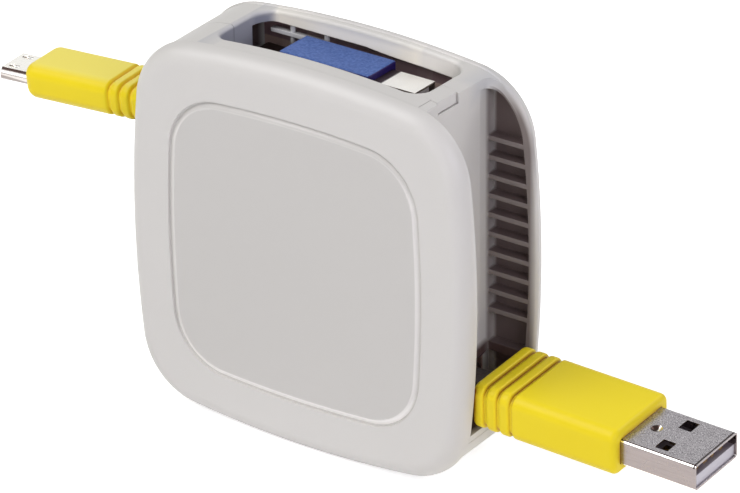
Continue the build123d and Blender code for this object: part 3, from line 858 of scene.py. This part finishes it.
@dataclass
class PlugGrip:
    """Yellow grip of a plug, with strain relief grooves round its rear."""

    name: str
    body: str
    frame: PlugFrame
    length: float
    width: float
    height: float
    rise: float
    edge_round: float
    front_round: float
    rear_round: float
    first_groove: float
    groove_pitch: float
    shell: Triple
    grooves: int = 3
    groove_open: float = 1.0 * MM
    groove_floor: float = 0.4 * MM
    groove_depth: Pair = (0.4 * MM, 0.6 * MM)
    band_round: float = 0.24 * MM
    band_steps: int = 3
    shell_sunk: float = 6 * MM
    shell_gap: float = 0.03 * MM
    shell_round: float = 0.5 * MM
    shell_steps: int = 5
    edge_steps: int = 10
    front_steps: int = 8
    rear_steps: int = 6

    def build(self, finish: bpy.types.Material) -> bpy.types.Object:
        """Models the grip, dresses it and puts it on its plug.

        Args:
            finish: Material of the grip.

        Returns:
            The finished grip.
        """
        across = self.width / 2
        above = self.height / 2
        low = (-self.length, -across, self.rise - above)
        high = (0.0, across, self.rise + above)
        bench = Bench(self.name, low, high)
        with bench:
            bench.pick_edges(lambda a, b: abs(a.x - b.x) > self.length / 2)
            bench.round_picked(self.edge_round, self.edge_steps)
            for number in range(self.grooves):
                self.groove(bench, -self.length + self.first_groove + number * self.groove_pitch)
            bench.pick_edges(lambda a, b: near(a.x, 0.0) and near(b.x, 0.0))
            bench.round_picked(self.front_round, self.front_steps)
            bench.pick_edges(lambda a, b: near(a.x, -self.length) and near(b.x, -self.length))
            bench.round_picked(self.rear_round, self.rear_steps)
        bench.hollow(self.shell_room())
        grip = bench.settle(self.frame.matrix())
        grip.data.materials.append(finish)
        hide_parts(self.name.replace("grip", "overmould"))
        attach(grip, self.body)
        return grip

    def groove(self, bench: Bench, middle: float) -> None:
        """Cuts one groove round the grip and softens the bands beside it.

        Args:
            bench: The bench with the grip on it.
            middle: Place of the groove's middle along the grip.
        """
        floor = (middle - self.groove_floor / 2, middle + self.groove_floor / 2)
        brink = (middle - self.groove_open / 2, middle + self.groove_open / 2)
        for place in (*floor, *brink):
            bench.cut((place, 0.0, 0.0), (1.0, 0.0, 0.0))
        bench.pick_points(lambda p: any(near(p.x, place) for place in floor))
        beside, above = self.groove_depth
        shrink = (1.0, 1 - 2 * beside / self.width, 1 - 2 * above / self.height)
        bpy.ops.transform.resize(value=shrink, center_override=(0.0, 0.0, self.rise))
        bench.pick_edges(lambda a, b: any(near(a.x, place) and near(b.x, place) for place in brink))
        bench.round_picked(self.band_round, self.band_steps)

    def shell_room(self) -> bpy.types.Object:
        """Models the room that the metal shell takes up in the grip's front end.

        Returns:
            The room, as a piece to cut away.
        """
        width, height, rise = self.shell
        across = width / 2 + self.shell_gap
        above = height / 2 + self.shell_gap
        low = (-self.shell_sunk, -across, rise - above)
        high = (self.shell_sunk, across, rise + above)
        room = Bench(self.name + "_room", low, high)
        with room:
            room.pick_edges(lambda a, b: abs(a.x - b.x) > self.shell_sunk)
            room.round_picked(self.shell_round, self.shell_steps)
        return room.piece


@dataclass
class CableStrip:
    """Flat cable from the reel to the rear of a plug."""

    name: str
    body: str
    frame: PlugFrame
    grip_length: float
    axis_height: float = REEL_HEIGHT
    drop: float = 18.85 * MM
    width: float = 5.0 * MM
    thickness: float = 1.0 * MM
    edge_round: float = 0.42 * MM
    edge_steps: int = 4
    crease_half: float = 0.3 * MM
    crease_depth: float = 0.12 * MM
    rings: int = 60
    tuck: float = 0.4 * MM

    def ends(self) -> tuple[Vector, Vector]:
        """Finds where the cable leaves the coil and where it meets the plug.

        Returns:
            The point on the coil's rim and the point on the plug's rear.
        """
        rear = self.frame.matrix() @ Vector((-self.grip_length, 0.0, 0.0))
        rise = rear.z - self.axis_height
        turn = math.atan2(rise, rear.x) - math.acos(self.drop / math.hypot(rear.x, rise))
        rim = Vector((self.drop * math.cos(turn), 0.0, self.axis_height + self.drop * math.sin(turn)))
        return rim, Vector((rear.x, 0.0, rear.z))

    def build(self, finish: bpy.types.Material) -> bpy.types.Object:
        """Models the strip, dresses it and stretches it between the case and its plug.

        Args:
            finish: Material of the cable.

        Returns:
            The finished strip.
        """
        rim, rear = self.ends()
        run = rear - rim
        length = run.length + self.tuck
        half = (self.width / 2, self.thickness / 2)
        bench = Bench(self.name, (0.0, -half[0], -half[1]), (length, half[0], half[1]))
        with bench:
            bench.pick_edges(lambda a, b: abs(a.x - b.x) > length / 2)
            bench.round_picked(self.edge_round, self.edge_steps)
            for place in (-self.crease_half, 0.0, self.crease_half):
                bench.cut((0.0, place, 0.0), (0.0, 1.0, 0.0))
            bench.pick_points(lambda p: near(p.y, 0.0))
            shrink = 1 - 2 * self.crease_depth / self.thickness
            bpy.ops.transform.resize(value=(1.0, 1.0, shrink), center_override=(0.0, 0.0, 0.0))
            bench.pick_edges(lambda a, b: abs(a.x - b.x) > length / 2)
            bpy.ops.mesh.subdivide(number_cuts=self.rings)
        out = run.normalized()
        across = Vector((0.0, self.frame.way, 0.0))
        turn = Matrix((out, across, out.cross(across))).transposed().to_4x4()
        strip = bench.settle(Matrix.Translation(rim) @ turn)
        strip.data.materials.append(finish)
        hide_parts(self.name.replace("strip", "cable"))
        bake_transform(strip)
        return strip


@dataclass
class Wardrobe:
    """Finishes of the object, and the CAD nodes that wear each."""

    case_grey: Plastic = Plastic(
        name="case_grey", colour=linear(215, 212, 208), drift=linear(214, 211, 207),
        recess_shade=linear(80, 57, 56), open_range=(0.08, 0.45), closest=0.45,
        panel=PanelTone(
            colour=linear(203, 200, 196), edge=linear(226, 223, 219), low_edge_highlight=linear(255, 252, 248)
        ),
        channel_shade=ChannelShade(),
        light_shade_patches=(
            # Painted shade inside the case, then on its back wall behind the compartment
            LightShadePatch(linear(196, 170, 160), (-21.8, -10.6, 5.0), (21.8, 10.7, 59.4)),
            LightShadePatch(linear(160, 130, 134), (-21.8, 10.3, 59.3), (21.8, 10.7, 64.9)),
            # Painted light on the far wall of the compartment, its right part and its left part
            LightShadePatch(linear(240, 236, 230), (9.0, 6.0, 59.0), (17.5, 9.8, 65.3), fade=0.8),
            LightShadePatch(linear(255, 249, 236), (-17.5, 6.0, 59.0), (10.5, 9.8, 65.3), fade=0.8),
            # Painted shade on the upper right corner, and on the compartment's left end
            LightShadePatch(linear(194, 194, 196), (22.5, 4.5, 62.0), (28.0, 9.5, 67.0), fade=2.0),
            LightShadePatch(linear(150, 153, 167), (-20.4, -8.0, 55.0), (-18.0, 9.8, 64.8), fade=0.6),
        ),
    )
    # Painted shade in the tray's recesses and low down towards its floor
    tray_grey: Plastic = Plastic(
        name="tray_grey", colour=linear(206, 205, 206), drift=linear(203, 202, 203),
        recess_shade=linear(46, 31, 26), open_range=(0.05, 0.35), low_shade_heights=(59.5 * MM, 61.2 * MM),
    )
    # Painted shade in the grooves, browner on the sides; painted light on the top faces
    plug_yellow: Plastic = Plastic(
        name="plug_yellow", colour=linear(245, 220, 34), drift=linear(243, 217, 32),
        recess_shade=linear(130, 38, 14), side_recess_shade=linear(190, 128, 26), painted_top_light=linear(252, 228, 42),
        reach=1.4 * MM, open_range=(0.42, 0.8), edge=0.1 * MM, shine=0.22,
    )
    # Painted shade in recesses; painted light on the top faces
    small_yellow: Plastic = Plastic(
        name="small_yellow", colour=linear(248, 223, 32), drift=linear(246, 220, 30),
        recess_shade=linear(230, 182, 38), painted_top_light=linear(255, 238, 108), reach=1.4 * MM, open_range=(0.4, 0.8),
        edge=0.1 * MM, roughness=(0.36, 0.44), shine=0.22,
    )
    adaptor_blue: Plastic = Plastic(
        name="adaptor_blue", colour=linear(52, 84, 150), drift=linear(84, 114, 180),
        recess_shade=linear(30, 20, 84), reach=9 * MM, open_range=(0.35, 0.72), grain=0.3 * MM,
        relief=0.02 * MM, drift_size=0.4 * MM, shine=0.25,
        # Painted shade on the end face that the tip stands on
        light_shade_patches=(LightShadePatch(linear(36, 20, 86), (6.4, -1.0, 57.0), (6.8, 8.0, 62.9)),),
    )
    # Colour greyer than the white insert, partly painted shade of the openings it sits in
    insert_white: Plastic = Plastic(
        name="insert_white", colour=linear(206, 202, 208), drift=linear(202, 198, 204),
        recess_shade=linear(122, 110, 118), reach=4 * MM,
    )
    reel_black: Plastic = Plastic(
        name="reel_black", colour=linear(62, 62, 64), drift=linear(56, 56, 58),
        recess_shade=linear(20, 20, 21),
    )
    # Painted shade: the cable is as dark as the shade in the pockets it runs through
    painted_shade_sheath: Plastic = Plastic(
        name="painted_shade_sheath", colour=linear(66, 58, 56), drift=linear(60, 53, 51),
        recess_shade=linear(34, 27, 25), grain=0.5 * MM, roughness=(0.5, 0.65),
    )
    plug_nickel: Metal = Metal(
        name="plug_nickel", face=linear(192, 188, 191), speck=linear(108, 104, 108),
        side=linear(160, 150, 148), skin=Skin.BLASTED,
        # Painted reflections across the bend: pale bands and a dark fold line
        shoulder_reflection=Fold((
            (0.2, linear(150, 136, 130)), (0.36, linear(120, 104, 98)), (0.46, linear(255, 253, 250)),
            (0.76, linear(255, 253, 250)), (0.81, linear(66, 54, 52)), (0.96, linear(72, 60, 58)),
            (0.985, linear(250, 247, 245)),
        )),
        # Painted shade in the dent, with a painted highlight on its lit wall
        dent=Dent(
            place=(61.15 * MM, -0.79 * MM, 17.75 * MM), radius=1.02 * MM,
            painted_shade_tone=linear(58, 45, 42), painted_highlight_tone=linear(255, 252, 244),
        ),
        # Painted reflection: dark line along the shell's front edge
        light_shade_patches=(LightShadePatch(linear(50, 40, 38), (71.55, -7.0, 16.6), (71.85, 6.0, 19.0)),),
    )
    small_nickel: Metal = Metal(
        # Painted reflection: dark shoulders
        name="small_nickel", face=linear(246, 244, 238), speck=linear(238, 236, 230),
        shoulder_reflection=linear(72, 58, 54), side=linear(206, 198, 192),
        # Painted reflection in a pale stripe along the bend, and painted shade at the foot of the side
        light_shade_patches=(
            LightShadePatch(linear(252, 249, 244), (-67.0, -3.36, 44.0), (-57.0, -3.1, 48.5), fade=0.08),
            LightShadePatch(linear(120, 108, 103), (-67.0, -3.6, 44.0), (-57.0, -3.3, 45.95), fade=0.15),
        ),
    )
    # Painted highlight: near white all over, as the latches catch the light
    latch_nickel: Metal = Metal(
        name="latch_nickel", face=linear(255, 254, 250), speck=linear(250, 249, 245),
        shoulder_reflection=linear(250, 248, 244), side=linear(236, 232, 226),
    )
    tip_nickel: Metal = Metal(
        name="tip_nickel", face=linear(254, 252, 247), speck=linear(246, 244, 239),
        shoulder_reflection=linear(226, 222, 216), side=linear(120, 108, 100), skin=Skin.BLASTED, metallic=0.5,
        roughness=(0.35, 0.5),
        # Shade where the tip meets the adaptor's body
        light_shade_patches=(LightShadePatch(linear(52, 38, 44), (6.0, -1.0, 58.0), (8.2, 8.0, 63.0), fade=0.15),),
    )
    contact_gold: Metal = Metal(
        name="contact_gold", face=linear(236, 205, 128), speck=linear(226, 190, 108),
        shoulder_reflection=linear(240, 214, 150), side=linear(214, 176, 96),
    )
    plain_steel: Metal = Metal(
        name="plain_steel", face=linear(190, 190, 192), speck=linear(176, 176, 178),
        shoulder_reflection=linear(214, 214, 216), side=linear(180, 180, 182),
    )
    wearers: dict[str, tuple[str, ...]] = field(
        default_factory=lambda: {
            "case_grey": ("front_cover", "rear_cover"),
            "tray_grey": ("adaptor_tray",),
            "adaptor_blue": ("adaptor_body",),
            "insert_white": ("usb_tongue", "micro_tongue", "adaptor_tongue", "adaptor_socket_tongue"),
            "reel_black": ("axle", "spool", "spool_cap"),
            "painted_shade_sheath": ("cable_coil",),
            "plug_nickel": ("usb_shell", "adaptor_socket"),
            "small_nickel": ("micro_shell",),
            "tip_nickel": ("adaptor_shell",),
            "latch_nickel": ("micro_latch_1", "micro_latch_2"),
            "contact_gold": (
                *(f"usb_contact_{number}" for number in range(1, 5)),
                *(f"micro_contact_{number}" for number in range(1, 6)),
            ),
            "plain_steel": ("lock_ball", "spring", *(f"screw_{number}" for number in range(1, 5))),
        }
    )

    def dress(self, nodes: dict[str, bpy.types.Object]) -> dict[str, bpy.types.Material]:
        """Builds every finish and puts it on the CAD nodes that wear it.

        Args:
            nodes: CAD nodes by name.

        Returns:
            The materials by the finish's name.
        """
        finishes = (
            self.case_grey, self.tray_grey, self.plug_yellow, self.small_yellow, self.adaptor_blue,
            self.insert_white, self.reel_black, self.painted_shade_sheath, self.plug_nickel, self.small_nickel,
            self.latch_nickel, self.tip_nickel, self.contact_gold, self.plain_steel,
        )
        materials = {finish.name: finish.make() for finish in finishes}
        for name, wearers in self.wearers.items():
            for wearer in wearers:
                mesh = nodes[wearer].data
                mesh.materials.clear()
                mesh.materials.append(materials[name])
                LOG.info("%s wears %s", wearer, name)
        return materials


@dataclass(frozen=True)
class SoftBox:
    """Soft square lamp that looks at the object."""

    name: str
    place: Triple
    size: float
    power: float
    colour: Rgb = WHITE

    def hang(self, target: Vector) -> None:
        """Hangs the lamp and turns it to a target.

        Args:
            target: Where it looks.
        """
        lamp = bpy.data.lights.new(self.name, "AREA")
        lamp.size = self.size
        lamp.energy = self.power
        lamp.color = self.colour
        holder = bpy.data.objects.new(self.name, lamp)
        holder.location = self.place
        holder.rotation_euler = (target - Vector(self.place)).to_track_quat("-Z", "Y").to_euler()
        bpy.context.scene.collection.objects.link(holder)


@dataclass
class Studio:
    """White floor, soft lamps and the photograph's camera."""

    target: Triple = (0.0, -12.0 * MM, REEL_HEIGHT)
    azimuth: float = 36.062
    elevation: float = 26.123
    camera_roll: float = 0.586
    focal_pixels: float = 5019.9
    image_width: int = 740
    sensor: float = 36.0
    distance: float = 789.83 * MM
    shift_right: float = 12.193 * MM
    shift_up: float = 2.763 * MM
    clip_start: float = 0.01
    floor_size: float = 8.0
    floor_tones: tuple[Rgb, Rgb] = ((0.9, 0.9, 0.9), (0.88, 0.88, 0.88))
    floor_blots: float = 0.2
    floor_roughness: float = 0.9
    ambient: float = 0.04
    floor_glow: float = 0.72
    lamps: tuple[SoftBox, ...] = (
        SoftBox("key_box", place=(-0.48, -0.55, 0.9), size=0.8, power=9.1),
        SoftBox(
            "right_box", place=(0.95, -0.45, 0.45), size=0.6, power=4.8, colour=(0.99, 0.975, 1.09)
        ),
        SoftBox("front_box", place=(0.25, -1.05, 0.3), size=0.6, power=1.1),
        SoftBox("back_box", place=(0.55, 0.9, 0.75), size=0.6, power=4.6),
    )

    def set_camera(self) -> None:
        """Puts the camera where the photograph was taken from."""
        turn = math.radians(self.azimuth)
        lift = math.radians(self.elevation)
        roll = math.radians(self.camera_roll)
        right = Vector((math.cos(turn), math.sin(turn), 0.0))
        level = math.cos(lift)
        toward = Vector((math.sin(turn) * level, -math.cos(turn) * level, math.sin(lift)))
        up = toward.cross(right)
        aside = right * self.shift_right + up * self.shift_up
        place = Vector(self.target) + toward * self.distance + aside
        camera_right = right * math.cos(roll) - up * math.sin(roll)
        camera_up = right * math.sin(roll) + up * math.cos(roll)
        lens = bpy.data.cameras.new("camera")
        lens.sensor_fit = "HORIZONTAL"
        lens.sensor_width = self.sensor
        lens.lens = self.sensor * self.focal_pixels / self.image_width
        lens.clip_start = self.clip_start
        camera = bpy.data.objects.new("camera", lens)
        facing = Matrix((camera_right, camera_up, toward)).transposed().to_4x4()
        camera.matrix_world = Matrix.Translation(place) @ facing
        bpy.context.scene.collection.objects.link(camera)
        bpy.context.scene.camera = camera

    def lay_floor(self) -> None:
        """Lays a white floor that keeps a faint shadow."""
        bpy.ops.object.select_all(action="DESELECT")
        bpy.ops.mesh.primitive_plane_add(size=self.floor_size)
        floor = bpy.context.active_object
        floor.name = "floor"
        board = Board("floor_white")
        board.feed("Base Color", board.mixed(board.noise(self.floor_blots), *self.floor_tones))
        board.shader.inputs["Roughness"].default_value = self.floor_roughness
        seen = self.seen_rays(board.nodes, board.links)
        board.feed("Emission Strength", board.span(seen, RISING, (0.0, self.floor_glow)))
        board.shader.inputs["Emission Color"].default_value = (*WHITE, OPAQUE)
        floor.data.materials.append(board.material)

    def seen_rays(self, nodes: bpy.types.Nodes, links: bpy.types.NodeLinks) -> Socket:
        """Tells the rays of the camera, of gloss and of glass from those that light the object.

        Args:
            nodes: Nodes of the floor or the world.
            links: Links between them.

        Returns:
            A socket, 1 for a ray that sees the background and 0 for one that lights.
        """
        rays = nodes.new("ShaderNodeLightPath")
        seen = rays.outputs["Is Camera Ray"]
        for kind in ("Is Glossy Ray", "Is Transmission Ray"):
            either = nodes.new("ShaderNodeMath")
            either.operation = "MAXIMUM"
            links.new(seen, either.inputs[0])
            links.new(rays.outputs[kind], either.inputs[1])
            seen = either.outputs["Value"]
        return seen

    def light_world(self) -> None:
        """Lights the world evenly and keeps it white to the camera."""
        world = bpy.data.worlds.new("studio")
        world.use_nodes = True
        nodes = world.node_tree.nodes
        links = world.node_tree.links
        background = nodes["Background"]
        background.inputs["Color"].default_value = (*WHITE, OPAQUE)
        strength = nodes.new("ShaderNodeMapRange")
        strength.inputs["To Min"].default_value = self.ambient
        strength.inputs["To Max"].default_value = 1.0
        links.new(self.seen_rays(nodes, links), strength.inputs["Value"])
        links.new(strength.outputs["Result"], background.inputs["Strength"])
        bpy.context.scene.world = world

    def build(self) -> None:
        """Sets the camera, floor, lamps and world."""
        bpy.context.scene.view_settings.view_transform = "Standard"
        self.set_camera()
        self.lay_floor()
        self.light_world()
        for lamp in self.lamps:
            lamp.hang(Vector(self.target))


LARGE_FRAME = PlugFrame(origin=(58.3 * MM, -0.65 * MM, 15.7 * MM), way=1, droop=1.5, roll=3.9)
SMALL_FRAME = PlugFrame(origin=(-60.15 * MM, 0.0, 46.83 * MM), way=-1, droop=3.6, roll=4.0)

LARGE_GRIP = PlugGrip(
    name="usb_grip", body="large_plug", frame=LARGE_FRAME, length=26.6 * MM, width=15.6 * MM,
    height=8.0 * MM, rise=0.0, edge_round=1.9 * MM, front_round=0.9 * MM, rear_round=0.9 * MM,
    first_groove=2.4 * MM, groove_pitch=2.4 * MM, shell=(12.0 * MM, 4.5 * MM, -0.1 * MM),
)
SMALL_GRIP = PlugGrip(
    name="micro_grip", body="small_plug", frame=SMALL_FRAME, length=27.2 * MM, width=10.0 * MM,
    height=6.3 * MM, rise=0.12 * MM, edge_round=2.2 * MM, front_round=2.1 * MM, rear_round=0.9 * MM,
    first_groove=4.6 * MM, groove_pitch=2.25 * MM, shell=(6.85 * MM, 1.85 * MM, 0.0),
)
LARGE_STRIP = CableStrip(
    name="usb_strip", body="large_plug", frame=LARGE_FRAME, grip_length=LARGE_GRIP.length
)
SMALL_STRIP = CableStrip(
    name="micro_strip", body="small_plug", frame=SMALL_FRAME, grip_length=SMALL_GRIP.length
)


def main() -> None:
    """Builds the dressed object and its studio."""
    logging.basicConfig(level=logging.INFO, format="%(message)s")
    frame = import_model()
    materials = Wardrobe().dress(frame["nodes"])
    models = (
        (LARGE_GRIP, "plug_yellow"), (SMALL_GRIP, "small_yellow"),
        (LARGE_STRIP, "painted_shade_sheath"), (SMALL_STRIP, "painted_shade_sheath"),
    )
    for model, finish in models:
        piece = model.build(materials[finish])
        LOG.info("%s: %d faces", piece.name, len(piece.data.polygons))
    Studio().build()


if __name__ == "__main__":
    main()
